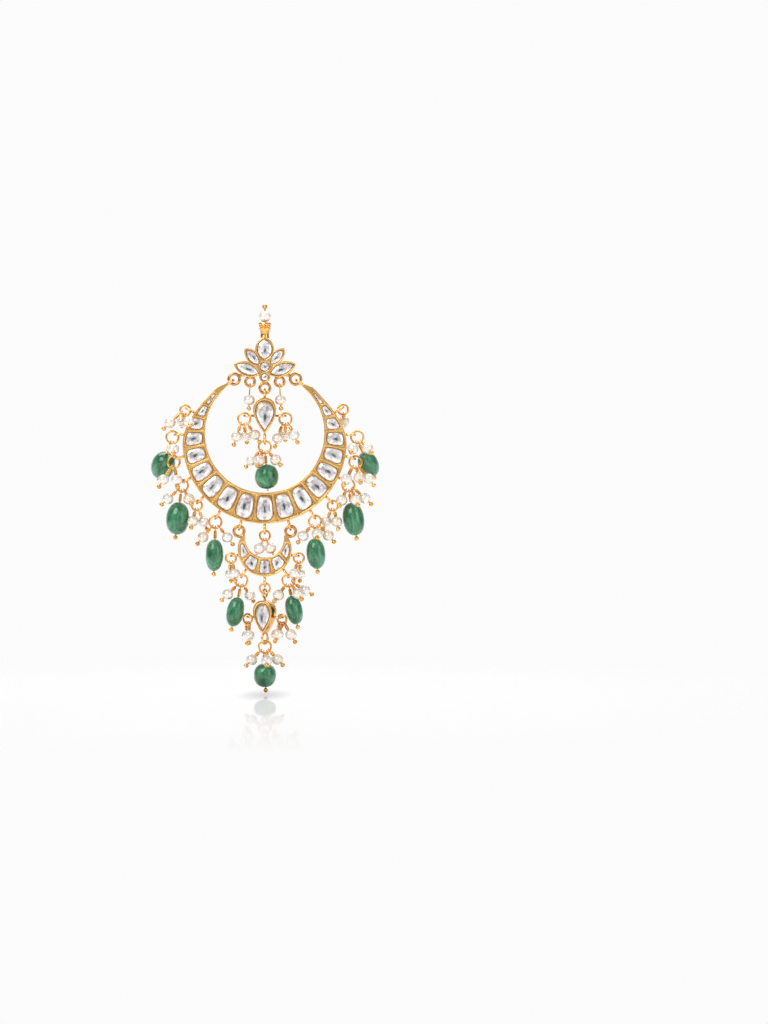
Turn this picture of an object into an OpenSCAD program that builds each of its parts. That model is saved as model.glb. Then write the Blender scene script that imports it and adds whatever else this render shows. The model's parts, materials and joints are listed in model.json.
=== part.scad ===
// A chandbali earring: a lotus stud that carries a jewelled crescent, a pear pendant inside it,
// a small crescent below and a pear drop at the foot, all fringed with pearls and green beads.
// Everything is drawn face on, with x to the right, y up and z to the front, and stood up at the end.

/* [Lotus stud] */
// Width that the lotus stones are laid out on
lotus_w = 15.1; // [14:0.1:17]
// Centre-line radius of the two side rings that carry the crescent
side_ring_r = 1.27; // [1.2:0.01:1.5]
// Centre-line radius of the two small rings that carry a pearl each
pearl_ring_r = 1.08; // [1:0.01:1.3]
// Centre-line radius of the middle ring that carries the pendant
middle_ring_r = 1.2; // [1.1:0.01:1.4]
// Wire radius of the stud's rings
stud_wire_r = 0.36; // [0.3:0.01:0.42]
// Diameter of the ear post
post_d = 0.9; // [0.7:0.05:1.1]
// Length of the ear post behind the stud
post_len = 10.5; // [8:0.5:13]
// Diameter of the pearl on top of the stud
top_pearl_d = 3; // [2.4:0.1:3.6]
// Height of the ribbed cup under the top pearl
cup_h = 1.6; // [1.2:0.1:2.4]
// Radius of the ribbed cup
cup_r = 1.6; // [1.3:0.05:1.8]
// Height of the stem between the lotus and the cup
stem_h = 2.2; // [1.6:0.1:3]

/* [Frames] */
// Depth of every frame, front to back
frame_depth = 2.6; // [2:0.1:3.2]
// Thickness of the plate behind the stones
floor_t = 0.9; // [0.6:0.05:1.2]
// Width of the metal rim round the stones
rim_w = 0.45; // [0.35:0.01:0.55]
// Width of the walls between stones
cell_wall_w = 0.36; // [0.28:0.01:0.5]
// Gap between a stone and its seat
stone_gap = 0.08; // [0.05:0.01:0.15]
// Depth of a stone's girdle below the rim
girdle_sink = 0.35; // [0.2:0.05:0.6]
// Height of a stone's table above the rim
table_rise = 0.1; // [0:0.05:0.3]

/* [Crescent] */
// Radius of the crescent's opening
crescent_r = 14.15; // [13:0.05:16]
// Width of the crescent at its foot
crescent_w = 7.35; // [6.6:0.05:8]
// Width of the crescent's arms at their ends
arm_w = 1.6; // [1.4:0.05:2]
// Distance of the outer arc's centre below the opening's centre
crescent_offset = 2; // [1.5:0.1:2.5]
// Centre-line radius of the loop that ends each arm
arm_loop_r = 0.96; // [0.9:0.01:1.2]
// Wire radius of the loop that ends each arm
arm_wire_r = 0.34; // [0.28:0.01:0.4]

/* [Pear pendant and drop] */
// Width of the pendant's frame
pendant_w = 5.5; // [4.6:0.1:6.2]
// Length of the pendant's frame
pendant_l = 8.7; // [7.6:0.1:9.6]
// Width of the drop's frame
drop_w = 5.1; // [4.4:0.1:5.8]
// Length of the drop's frame
drop_l = 8; // [7:0.1:9]
// Angle that the drop has turned about its hanging line
drop_turn = 28; // [0:1:35]
// Centre-line radius of the loop on top of each pear
pear_loop_r = 0.95; // [0.9:0.01:1.15]
// Wire radius of the loop on top of each pear
pear_wire_r = 0.28; // [0.22:0.01:0.32]
// Gap between the pendant's bead pin and the crescent below it
pendant_clear = 0.35; // [0.3:0.05:0.8]

/* [Small crescent] */
// Radius of the small crescent's opening
small_r = 4.6; // [4.4:0.05:5.2]
// Width of the small crescent at its foot
small_w = 4.54; // [4.2:0.02:5]
// Distance of the outer arc's centre below the opening's centre
small_offset = 2.74; // [2.4:0.02:3.2]
// Height of the loops above the opening's centre
neck_rise = 1.6; // [1.2:0.02:1.8]
// Centre-line radius of the small crescent's loops
small_loop_r = 1.2; // [1.1:0.01:1.4]
// Wire radius of the small crescent's loops
small_wire_r = 0.38; // [0.3:0.01:0.42]

/* [Lugs and jump rings] */
// Centre-line radius of the lugs
lug_r = 1.15; // [1.1:0.01:1.35]
// Wire radius of the lugs
lug_wire_r = 0.3; // [0.24:0.01:0.32]
// Centre-line radius of the large jump rings
big_ring_r = 1.45; // [1.35:0.01:1.7]
// Centre-line radius of the small jump rings
small_ring_r = 1.2; // [1.15:0.01:1.4]
// Wire radius of the jump rings
ring_wire_r = 0.25; // [0.2:0.01:0.28]
// Gap between linked wires
link_gap = 0.14; // [0.1:0.01:0.18]

/* [Pearls, beads and pins] */
// Diameter of the hanging pearls
pearl_d = 2.75; // [2.4:0.05:2.9]
// Width of a green bead before its share
bead_w = 5; // [4.4:0.1:5.3]
// Length of a green bead before its share
bead_l = 7.5; // [6.6:0.1:8]
// Wire radius of the headpins
pin_r = 0.15; // [0.12:0.01:0.17]
// Outer radius of the wrapped wire on a headpin
wrap_r = 0.42; // [0.34:0.01:0.46]
// Rise of one turn of the wrapped wire
wrap_pitch = 0.36; // [0.3:0.01:0.4]
// Radius of the ball that ends a headpin
ball_r = 0.55; // [0.4:0.05:0.65]
// Gap between a drilled bead and its pin
bore_gap = 0.1; // [0.08:0.01:0.14]

/* [Hidden] */
$fn = 48;
gold = "goldenrod";
crystal = "whitesmoke";
nacre = "ivory";
green = "seagreen";

// Lotus petals: x, y, length and width as shares of lotus_w, and the angle that each points to
TOP_PETAL = [0, 0.272, 0.33, 0.236, 90];
SIDE_PETAL = [0.189, 0.148, 0.298, 0.139, 49];
WIDE_PETAL = [0.274, -0.041, 0.39, 0.172, 21];
// Round lotus stones: y and diameter as shares of lotus_w
CENTRE_ROUND = [0, 0.146];
LOW_ROUND = [-0.166, 0.117];
// Places of the stud's side and pearl rings as shares of lotus_w
SIDE_RING = [0.483, -0.195];
PEARL_RING = [0.232, -0.236];

// Outline of the stem and the cup: radius as a share of cup_r, and height as a share of cup_h above
// the stem, or of stem_h below the cup
CUP_OUTLINE = [
    [0, -0.92],
    [0.7, -0.92],
    [0.62, -0.55],
    [0.7, -0.15],
    [0.82, -0.06],
    [0.88, 0.14],
    [0.78, 0.3],
    [0.94, 0.45],
    [0.82, 0.6],
    [1, 0.8],
    [0.94, 1],
];

// Angles from the foot of each crescent at which one stone's cell ends and the next begins
CRESCENT_CELLS = [7.5, 22.5, 37, 51.5, 65.5, 79, 92, 104, 116, 130];
SMALL_CELLS = [13.5, 43.5, 79];

// Hanging places on a crescent: angle of the lug's root from the foot, angle that the lug points to,
// jump ring radius, and angle that the ring swings out to from plumb
CRESCENT_HANGS = [
    [-106.5, -116, small_ring_r, -25],
    [-89, -89, big_ring_r, -40],
    [-74, -74, big_ring_r, -20],
    [-59, -59, big_ring_r, -15],
    [-44, -44, small_ring_r, 0],
    [-30, -30, big_ring_r, 0],
    [0, 0, small_ring_r, 0],
    [30.5, 30.5, big_ring_r, 0],
    [44, 44, small_ring_r, 0],
    [59, 59, big_ring_r, 25],
    [74, 74, big_ring_r, 10],
    [89, 89, big_ring_r, 40],
    [106.5, 122, small_ring_r, 0],
];
// Pearls on the crescent: hanging place, angle of the pin's loop round the ring, angle that the pin
// points to in the face, lean to the front, and turns of wrapped wire
CRESCENT_PEARLS = [
    [0, -60, -47, 6, 4],
    [0, -23, -14, -60, 3],
    [0, 15, 26, 62, 5],
    [1, 10, 8, 62, 3],
    [2, -28, -30, 18, 4],
    [2, 12, 11, 34, 4],
    [3, -42, -48, 14, 3],
    [3, 30, 30, 46, 3],
    [4, -20, -10, 40, 3.6],
    [4, 20, 22, -24, 3],
    [5, -38, -40, 0, 3],
    [5, 38, 38, 0, 3],
    [6, -22, -24, 16, 0.3],
    [6, 22, 24, -16, 0.3],
    [7, -44, -38, 22, 3],
    [7, 18, 4, 62, 3],
    [7, 48, 42, 10, 3],
    [8, -20, -24, -28, 3],
    [8, 20, 12, 30, 3],
    [9, -26, -22, 42, 3],
    [9, 36, 23, 50, 5],
    [9, 62, 48, 0, 4],
    [10, -32, -25, 42, 6],
    [10, 10, 16, 50, 4],
    [10, 40, 38, 6, 4],
    [11, -20, -20, 62, 3],
    [11, 48, 40, 46, 3],
    [12, 4, 4, -62, 3],
];
// Green beads on the crescent: the same five columns, then width and length as shares
CRESCENT_BEADS = [
    [1, -22, -20, -35, 7, 1.16, 0.99],
    [3, -8, -7, 0, 4.8, 1.14, 1.05],
    [5, 0, -2, 0, 5, 0.87, 1.04],
    [7, -12, 5, 0, 4.5, 0.92, 1.01],
    [9, 8, 9, 0, 5, 1.05, 1.08],
    [11, 16, 24, -34, 6.4, 1.02, 0.94],
];
// Hanging places on the small crescent
SMALL_HANGS = [
    [-57, -84, small_ring_r, 0],
    [-31, -31, big_ring_r, 0],
    [31, 31, big_ring_r, 0],
    [57, 84, small_ring_r, 0],
];
SMALL_PEARLS = [
    [0, -14, 2, -34, 3],
    [0, 22, 10, 34, 3],
    [1, -41, -46, 15, 3],
    [1, 26, 30, -36, 3],
    [2, -34, -34, 34, 3],
    [2, 34, 38, 40, 3],
    [2, 62, 58, -16, 3],
    [3, -22, -10, 34, 3],
    [3, 14, -2, -34, 3],
];
SMALL_BEADS = [
    [1, -6, -12, 0, 5, 0.86, 0.97],
    [2, 6, 12, 0, 4, 0.84, 0.94],
];
// Hanging places on a pear, as sides of its frame: -1 left, 0 foot, 1 right, with the ring's radius
PENDANT_HANGS = [[-1, big_ring_r], [0, big_ring_r], [1, big_ring_r]];
PENDANT_PEARLS = [
    [0, -34, -18, 8, 3],
    [0, 0, 6, -44, 4],
    [0, 34, 34, 10, 3],
    [1, -52, -42, -14, 3],
    [1, -26, -16, 50, 3],
    [1, 36, 44, 34, 3],
    [2, -32, -18, 0, 4],
    [2, 0, -4, -52, 4],
    [2, 32, 26, 22, 3],
];
DROP_HANGS = [[-1, small_ring_r], [0, big_ring_r], [1, small_ring_r]];
DROP_PEARLS = [
    [0, -20, -10, -20, 3],
    [0, 20, 16, 26, 3],
    [2, -36, -28, -20, 3],
    [2, 0, 4, 44, 3],
    [2, 36, 36, 4, 3],
];
DROP_FOOT_PEARLS = [
    [1, -48, -44, 26, 3],
    [1, 19, 4, 60, 4],
    [1, 52, 44, 28, 3],
];
PENDANT_BEAD = [1, 3, 4, 0, 0, 1.18, 0.82];
DROP_BEAD = [1, -10, 3, 0, 4.6, 1.1, 0.78];

// The top loop of a pear ends this far inside its frame
loop_bite = 0.2;
// Bar between the drop's top loop and its frame
drop_neck = 0.6;
// The foot lug of a pear starts this far inside its frame
foot_bite = 0.3;
// Plain bar between a pear's side and its lug, and how far the lug reaches over it
side_stub = 0.3;
side_bite = 0.1;
// Radius of the lugs on the pears' sides, on the small crescent's sides, and of those that hold it
side_lug_r = 0.98;
small_side_lug_r = 0.9;
hook_r = 1.15;
hook_angle = 15;
// How far outside the lotus's rim the middle ring's centre line starts
middle_ring_out = 0.05;
// Angles over which the crescent's shoulders are cut, from its foot
shoulder_from_angle = 80;
shoulder_to_angle = 135;
// How far outside the opening's edge the arm loops are centred
arm_loop_out = 0.47;
// Length over which an arm narrows to its loop's wire
arm_neck = 2;
// Direction from a side ring's centre to the arm that hangs on it
arm_point = 219;
// Corner exponents of the stone outlines and the bead outline
soft_corner = 3.6;
crisp_corner = 5;
// Gap between a crescent's stone and its cell
cell_spare = 0.15;
bead_corner = 2.3;
// Share of a stone's outline that its table fills, and of its culet side
table_share = 0.62;
base_share = 0.9;
// Length of a ring pin's loop before the wrapped wire begins
wrap_start = 0.08;
crescent_outer_r = crescent_r + crescent_w - crescent_offset;
small_outer_r = small_r + small_w - small_offset;
stone_points = 24;
// Length of the flat head that ends the pendant's bead pin
flat_head = 0.15;
arc_step = 3;

// Distances that follow from the sizes above
lift = ring_wire_r + lug_wire_r + link_gap;
pin_loop_r = ring_wire_r + link_gap + pin_r;
stud_pin_loop_r = stud_wire_r + link_gap + pin_r;
front = frame_depth / 2;
floor_z = -front + floor_t;
side_ring = lotus_w * SIDE_RING;
pearl_ring = lotus_w * PEARL_RING;
low_stone_r = lotus_w * LOW_ROUND[1] / 2;
middle_ring = [0, lotus_w * LOW_ROUND[0] - low_stone_r - rim_w - middle_ring_r - middle_ring_out];
stem_foot = lotus_w * (TOP_PETAL[1] + TOP_PETAL[2] / 2);
cup_foot = stem_foot + stem_h;
cup_top = cup_foot + cup_h;
arm_hook = side_ring + side_ring_r * [-cos(arm_point), sin(arm_point)];
arm_hook_r = crescent_r + arm_loop_out;
arm_hook_angle = 180 - asin(arm_hook[0] / arm_hook_r);
arm_loop_angle = arm_hook_angle + 90;
arm_end = arm_hook_angle - (arm_loop_r + arm_neck) / arm_hook_r * 180 / PI;
arm_tip = arm_hook_angle - arm_loop_r / arm_hook_r * 180 / PI;
crescent_y = arm_hook[1] + arm_hook_r * cos(arm_hook_angle);
small_hang = [0, crescent_y] + spoke(hook_angle, crescent_edge(hook_angle) + 2 * hook_r);
small_hook = small_hang + [0, small_wire_r + lug_wire_r + link_gap - small_loop_r];
small_y = small_hook[1] - neck_rise;
neck_angle = 90 + atan(neck_rise / small_hook[0]) - 6;
pendant_hook = middle_ring - [0, middle_ring_r];
pendant_top = pendant_hook[1] - pear_loop_r - pear_wire_r + loop_bite;
drop_lug_root = [0, small_y - small_edge(0)];
drop_ring = hung(lug_end(drop_lug_root, 0, lug_r), small_ring_r, 0);
drop_hook = drop_ring - [0, small_ring_r];
drop_top = drop_hook[1] - pear_loop_r - pear_wire_r + loop_bite - drop_neck;
pendant_y = pendant_top - pendant_l / 2;
drop_y = drop_top - drop_l / 2;
pendant_foot_ring = hung(lug_end([0, pendant_y - pendant_l / 2], 0, lug_r), PENDANT_HANGS[1][1], 0);
pendant_bead_room = pendant_foot_ring[1] - PENDANT_HANGS[1][1] - (crescent_y - crescent_r) - pendant_clear;

// A point at a radius and an angle counted from straight down, to the right
function spoke(a, r) = [r * sin(a), -r * cos(a)];
// Distance from the opening's centre to an outer arc whose centre lies lower
function offset_arc(a, r, down) = down * cos(a) + sqrt(r * r - pow(down * sin(a), 2));
// How far the shoulder has been cut at an angle, from 0 to 1
function shoulder(a) =
    let (along = (abs(a) - shoulder_from_angle) / (shoulder_to_angle - shoulder_from_angle))
    pow(sin(90 * min(1, max(0, along))), 1.9);
function crescent_edge(a) = let (arc_w = offset_arc(a, crescent_outer_r, crescent_offset) - crescent_r)
    crescent_r + arc_w - (arc_w - arm_w) * shoulder(a);
function small_edge(a) = offset_arc(a, small_outer_r, small_offset);
// Where a lug's far wire lies, and the centre of a ring that hangs over it
function lug_end(root, a, r) = root + spoke(a, 2 * r);
function hung(end, r, swing) = end + spoke(swing, r - lift);

// A rounded square from -1 to 1, the higher the exponent the crisper its corners
function rounded(n, p) = [
    for (i = [0:n - 1])
        let (c = cos(i * 360 / n), s = sin(i * 360 / n))
        [sign(c) * pow(abs(c), 2 / p), sign(s) * pow(abs(s), 2 / p)]
];
// A petal outline pointed at both ends
function petal(l, w, n) = [
    for (i = [0:n - 1])
        let (c = cos(i * 360 / n), r = (l * l + w * w) / (4 * w))
        [c * l / 2, (i < n / 2 ? 1 : -1) * (sqrt(r * r - pow(c * l / 2, 2)) - r + w / 2)]
];
// A pear outline, round on top and pointed at the foot
function pear(l, w, n) = [
    for (i = [0:n - 1])
        let (t = i * 360 / n)
        [-sin(t) * sin(t / 2) * w / 1.54, -cos(t) * l / 2]
];
function disc(d, n) = [for (i = [0:n - 1]) [cos(i * 360 / n), sin(i * 360 / n)] * d / 2];
function moved(points, at) = [for (p = points) p + at];
function turned(points, a) = [
    for (p = points) [p[0] * cos(a) - p[1] * sin(a), p[0] * sin(a) + p[1] * cos(a)]
];
function flipped(points, side) = [for (p = points) [side * p[0], p[1]]];
function middle(points) = [for (k = [0:1]) sum(points, k, len(points) - 1) / len(points)];
function sum(points, k, i) = i < 0 ? 0 : points[i][k] + sum(points, k, i - 1);
// A stone's outline in the cell between two angles of a crescent
function cell_stone(edges, r, big, p, spare) = [
    for (q = rounded(stone_points, p))
        let (half = (edges[1] - edges[0]) / 2, mid_r = r + 3 * rim_w)
        let (side = (cell_wall_w / 2 + spare) / mid_r * 180 / PI)
        let (a = (edges[0] + edges[1]) / 2 + q[1] * (half - side))
        let (low = r + rim_w + spare, high = edge(a, big) - rim_w - spare)
        spoke(a, low + (q[0] + 1) / 2 * max(stone_gap, high - low))
];
function cell_edges(cells, i) = i == 0 ? [-cells[0], cells[0]] :
    i > 0 ? [cells[i - 1], cells[i]] : [-cells[-i], -cells[-i - 1]];
function bead_radius(u, w) = w / 2 * pow(max(0, 1 - pow(abs(u), bead_corner)), 1 / bead_corner);

module stand() {
    rotate([90, 0, 0])
        translate([0, 0, front])
            children();
}

module wire_ring(r, wire) {
    rotate_extrude()
        translate([r, 0])
            circle(wire);
}

// A ring seen edge on, in the plane of a direction counted from straight down and the depth
module edge_ring(at, a, r, wire) {
    translate(at)
        rotate([0, 0, a - 90])
            rotate([90, 0, 0])
                wire_ring(r, wire);
}

module lug(root, a, r) {
    edge_ring(root + spoke(a, r), a, r, lug_wire_r);
}

// A round bar in the face from one point to another
module bar(from, to, r) {
    way = to - from;
    translate(from)
        rotate([0, 0, atan2(way[1], way[0])])
            rotate([0, 90, 0])
                cylinder(h = norm(way), r = r);
}

module plate(depth) {
    translate([0, 0, -depth / 2])
        linear_extrude(depth)
            children();
}

// The room for a stone, cut down to the plate behind it
module seat(points) {
    translate([0, 0, floor_z])
        linear_extrude(frame_depth)
            offset(delta = stone_gap)
                polygon(points);
}

// A cut stone: a girdle, a ring of facets above it and a flat table
module cut_stone(points) {
    n = len(points);
    c = middle(points);
    base_z = floor_z + stone_gap;
    girdle_z = front - girdle_sink;
    rows = [[base_share, base_z], [1, girdle_z], [table_share, front + table_rise]];
    corners = [for (row = rows) for (p = points) [each (c + row[0] * (p - c)), row[1]]];
    sides = [for (k = [0:1]) for (i = [0:n - 1])
        [k * n + i, (k + 1) * n + i, (k + 1) * n + (i + 1) % n, k * n + (i + 1) % n]];
    faces = concat([[for (i = [0:n - 1]) i]], [[for (i = [n - 1:-1:0]) 2 * n + i]], sides);
    color(crystal)
        polyhedron(corners, faces);
}

// A headpin hung on a ring's wire: a loop, wrapped wire, and a shank to its ball
module headpin(loop_r, wrap_len, load_l) {
    top = loop_r + wrap_start;
    end = top + wrap_len + load_l + 2 * bore_gap;
    turns = max(1, round(wrap_len / wrap_pitch));
    rib = wrap_len / turns;
    ribs = [for (i = [0:turns - 1]) each [
        [wrap_r - rib / 4, top + i * rib],
        [wrap_r, top + (i + 0.25) * rib],
        [wrap_r, top + (i + 0.75) * rib],
        [wrap_r - rib / 4, top + (i + 1) * rib],
    ]];
    rotate([0, 90, 0])
        wire_ring(loop_r, pin_r);
    rotate([90, 0, 0])
        rotate_extrude()
            polygon(concat([[0, loop_r]], [[pin_r, loop_r]], wrap_len > 0 ? ribs : [],
                [[pin_r, top + wrap_len], [pin_r, end + ball_r], [0, end + ball_r]]));
    translate([0, -end - ball_r, 0])
        sphere(ball_r);
}

// A pin's place on a ring: its row gives the loop's angle, the angle it points to and its lean
module on_ring(at, r, row) {
    translate(at)
        rotate([0, 0, row[1]])
            translate([0, -r, 0])
                rotate([0, 0, row[2] - row[1]])
                    rotate([-row[3], 0, 0])
                        children();
}

module drilled_pearl(d, down) {
    translate([0, -down - d / 2, 0])
        difference() {
            sphere(d = d);
            rotate([90, 0, 0])
                cylinder(h = d + 1, r = pin_r + bore_gap, center = true);
        }
}

module drilled_bead(w, l, down) {
    hole = pin_r + bore_gap;
    steps = 14;
    half_l = l / 2;
    // The outline stops where it meets the hole
    reach = pow(1 - pow(2 * hole / w, bead_corner), 1 / bead_corner);
    side = [
        for (i = [0:steps])
            let (u = -reach * cos(180 * i / steps))
            [max(hole, bead_radius(u, w)), u * half_l]
    ];
    middles = [for (i = [1:steps - 1]) side[i]];
    color(green)
        translate([0, -down - half_l, 0])
            rotate([90, 0, 0])
                rotate_extrude()
                    polygon(concat([[hole, -reach * half_l]], middles, [[hole, reach * half_l]]));
}

function wrap_len(row) = row[4] * wrap_pitch;
function load_start(row) = pin_loop_r + wrap_start + wrap_len(row) + bore_gap;

// All pins, pearls and beads of one frame take the ring centres and radii that it gives
module pearl_pins(centres, radii, rows) {
    for (row = rows)
        on_ring(centres[row[0]], radii[row[0]], row)
            if (row[4] < 1)
                flat_pin(pin_loop_r, wrap_len(row), pearl_d);
            else
                headpin(pin_loop_r, wrap_len(row), pearl_d);
}

module bead_pins(centres, radii, rows) {
    for (row = rows)
        on_ring(centres[row[0]], radii[row[0]], row)
            headpin(pin_loop_r, wrap_len(row), row[6] * bead_l);
}

module pin_pearls(centres, radii, rows) {
    color(nacre)
        for (row = rows)
            on_ring(centres[row[0]], radii[row[0]], row)
                drilled_pearl(pearl_d, load_start(row));
}

module pin_bead(centres, radii, row) {
    on_ring(centres[row[0]], radii[row[0]], row)
        drilled_bead(row[5] * bead_w, row[6] * bead_l, load_start(row));
}

// Lotus stud
function petal_stone(row, side) =
    let (outline = turned(petal(lotus_w * row[2], lotus_w * row[3], stone_points), row[4]))
    flipped(moved(outline, lotus_w * [row[0], row[1]]), side);
function round_stone(row) = moved(disc(lotus_w * row[1], stone_points), [0, lotus_w * row[0]]);
petal_rows = [[TOP_PETAL, 1], [SIDE_PETAL, -1], [SIDE_PETAL, 1], [WIDE_PETAL, -1], [WIDE_PETAL, 1]];
lotus_outlines = concat(
    [for (p = petal_rows) petal_stone(p[0], p[1])],
    [round_stone(CENTRE_ROUND), round_stone(LOW_ROUND)]
);

module petal_plate(row, side) {
    l = lotus_w * row[2];
    w = lotus_w * row[3];
    r = (l * l + w * w) / (4 * w);
    mirror([side < 0 ? 1 : 0, 0])
        translate(lotus_w * [row[0], row[1]])
            rotate(row[4])
                intersection_for (k = [-1, 1])
                    translate([0, k * (r - w / 2)])
                        circle(r + rim_w);
}

module top_cup() {
    outline = [for (p = CUP_OUTLINE) [p[0] * cup_r, cup_foot + p[1] * (p[1] > 0 ? cup_h : stem_h)]];
    pin_top = cup_top + top_pearl_d + ball_r;
    color(gold)
        rotate([-90, 0, 0])
            rotate_extrude()
                polygon(concat(
                    outline,
                    [[0.5 * cup_r, cup_top], [pin_r, cup_top - bore_gap], [pin_r, pin_top], [0, pin_top]]));
    translate([0, cup_top + top_pearl_d + 2 * bore_gap + 1.15 * ball_r, 0])
        sphere(1.15 * ball_r);
}

module stud_frame() {
    color(gold)
        stand() {
            difference() {
                plate(frame_depth) {
                    for (p = petal_rows)
                        petal_plate(p[0], p[1]);
                    circle(d = lotus_w * CENTRE_ROUND[1] + 4 * rim_w);
                    translate([0, lotus_w * LOW_ROUND[0]])
                        circle(low_stone_r + rim_w);
                }
                for (points = lotus_outlines)
                    seat(points);
            }
            for (side = [-1, 1]) {
                translate([side * side_ring[0], side_ring[1]])
                    wire_ring(side_ring_r, stud_wire_r);
                bar([side * (side_ring[0] - 0.8 * side_ring_r), side_ring[1] + 0.6 * side_ring_r],
                    [side * 0.331 * lotus_w, -0.128 * lotus_w], stud_wire_r);
                translate([side * pearl_ring[0], pearl_ring[1]])
                    wire_ring(pearl_ring_r, stud_wire_r);
            }
            translate(middle_ring)
                wire_ring(middle_ring_r, stud_wire_r);
            translate([0, 0, -front - post_len])
                cylinder(h = post_len + 0.1, r = post_d / 2);
            top_cup();
        }
}

module lotus_stone(i) {
    stand()
        cut_stone(lotus_outlines[i]);
}

STUD_ROWS = [[0, -3, -3, 0, 0], [0, 3, 3, 0, 0]];
stud_pin_bar = 1.1;

module stud_headpins() {
    color(gold)
        stand()
            for (i = [0:1])
                on_ring([(2 * i - 1) * pearl_ring[0], pearl_ring[1]], pearl_ring_r, STUD_ROWS[i])
                    union() {
                        rotate([0, 90, 0])
                            wire_ring(stud_pin_loop_r, pin_r);
                        rotate([90, 0, 0])
                            translate([0, 0, stud_pin_loop_r])
                                cylinder(h = stud_pin_bar + pearl_d + 2 * bore_gap + ball_r, r = pin_r);
                        translate([0, -stud_pin_loop_r - stud_pin_bar - pearl_d - 2 * bore_gap - ball_r, 0])
                            sphere(ball_r);
                    }
}

module stud_pearls() {
    color(nacre)
        stand() {
            for (i = [0:1])
                on_ring([(2 * i - 1) * pearl_ring[0], pearl_ring[1]], pearl_ring_r, STUD_ROWS[i])
                    drilled_pearl(pearl_d, stud_pin_loop_r + stud_pin_bar + bore_gap);
            translate([0, cup_top + top_pearl_d + bore_gap, 0])
                drilled_pearl(top_pearl_d, 0);
        }
}

// Crescent
crescent_roots = [for (h = CRESCENT_HANGS) [0, crescent_y] + spoke(h[0], crescent_edge(h[0]))];
crescent_rings = [for (i = [0:len(CRESCENT_HANGS) - 1])
    let (h = CRESCENT_HANGS[i])
    hung(lug_end(crescent_roots[i], h[1], lug_r), h[2], h[3])];
crescent_radii = [for (h = CRESCENT_HANGS) h[2]];

// The outer edge of either crescent
function edge(a, big) = big ? crescent_edge(a) : small_edge(a);

module band(r, end, big) {
    step = 2 * end / round(2 * end / arc_step);
    difference() {
        polygon(concat(
            [for (a = [-end:step:end]) spoke(a, edge(a, big))],
            [for (a = [1, 1 / 3, -1 / 3, -1]) spoke(a * end, r - rim_w)]));
        circle(r);
    }
}

module crescent_frame() {
    color(gold)
        stand() {
            translate([0, crescent_y, 0])
                difference() {
                    plate(frame_depth) {
                        band(crescent_r, arm_end, true);
                        for (side = [-1, 1])
                            polygon([
                                spoke(side * (arm_end - arc_step), crescent_r + 0.1),
                                spoke(side * (arm_end - 0.1), crescent_r),
                                spoke(side * arm_tip, arm_hook_r - arm_wire_r),
                                spoke(side * arm_tip, arm_hook_r + arm_wire_r),
                                spoke(side * arm_end, crescent_edge(arm_end)),
                            ]);
                    }
                    for (i = [-9:9])
                        translate([0, 0, floor_z])
                            linear_extrude(frame_depth)
                                polygon(cell_room(CRESCENT_CELLS, i, crescent_r, true));
                }
            for (side = [-1, 1])
                edge_ring([side * arm_hook[0], arm_hook[1]], side * arm_loop_angle, arm_loop_r, arm_wire_r);
            for (i = [0:len(CRESCENT_HANGS) - 1])
                lug(crescent_roots[i], CRESCENT_HANGS[i][1], lug_r);
            for (a = [-hook_angle, hook_angle])
                lug([0, crescent_y] + spoke(a, crescent_edge(a)), a, hook_r);
        }
}

// The room of a cell: straight walls on both sides, arcs along the rims
function cell_room(cells, i, r, big) =
    let (edges = cell_edges(cells, i), n = 6)
    let (low = r + rim_w, inner = cell_wall_w / 2 / low * 180 / PI)
    let (outer = cell_wall_w / 2 / (edge((edges[0] + edges[1]) / 2, big) - rim_w) * 180 / PI)
    let (span = edges[1] - edges[0])
    concat(
        [for (k = [0:n])
            let (a = edges[0] + outer + k / n * (span - 2 * outer))
            spoke(a, max(low + stone_gap, edge(a, big) - rim_w))],
        [for (k = [n:-1:0]) spoke(edges[0] + inner + k / n * (span - 2 * inner), low)]
    );

module crescent_stone(number) {
    outline = cell_stone(cell_edges(CRESCENT_CELLS, number - 10), crescent_r, true, soft_corner, cell_spare);
    stand()
        cut_stone(moved(outline, [0, crescent_y]));
}

module crescent_jump_rings() {
    color(gold)
        stand()
            for (i = [0:len(CRESCENT_HANGS) - 1])
                translate(crescent_rings[i])
                    wire_ring(crescent_radii[i], ring_wire_r);
}

module crescent_headpins() {
    color(gold)
        stand() {
            pearl_pins(crescent_rings, crescent_radii, CRESCENT_PEARLS);
            bead_pins(crescent_rings, crescent_radii, CRESCENT_BEADS);
        }
}

module crescent_pearls() {
    stand()
        pin_pearls(crescent_rings, crescent_radii, CRESCENT_PEARLS);
}

module crescent_bead(number) {
    stand()
        pin_bead(crescent_rings, crescent_radii, CRESCENT_BEADS[number - 1]);
}

// Pears
module pear_frame(l, w, at_y) {
    difference() {
        translate([0, at_y, 0])
            plate(frame_depth)
                polygon(pear(l, w, 48));
        seat(pear_stone(l, w, at_y));
    }
    for (side = [-1, 1]) {
        bar([side * 0.43 * w, at_y], [side * (w / 2 + side_stub), at_y], lug_wire_r);
        lug([side * (w / 2 + side_stub - side_bite), at_y], side * 90, side_lug_r);
    }
    lug([0, at_y - l / 2 + foot_bite], 0, lug_r + foot_bite / 2);
}

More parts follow.
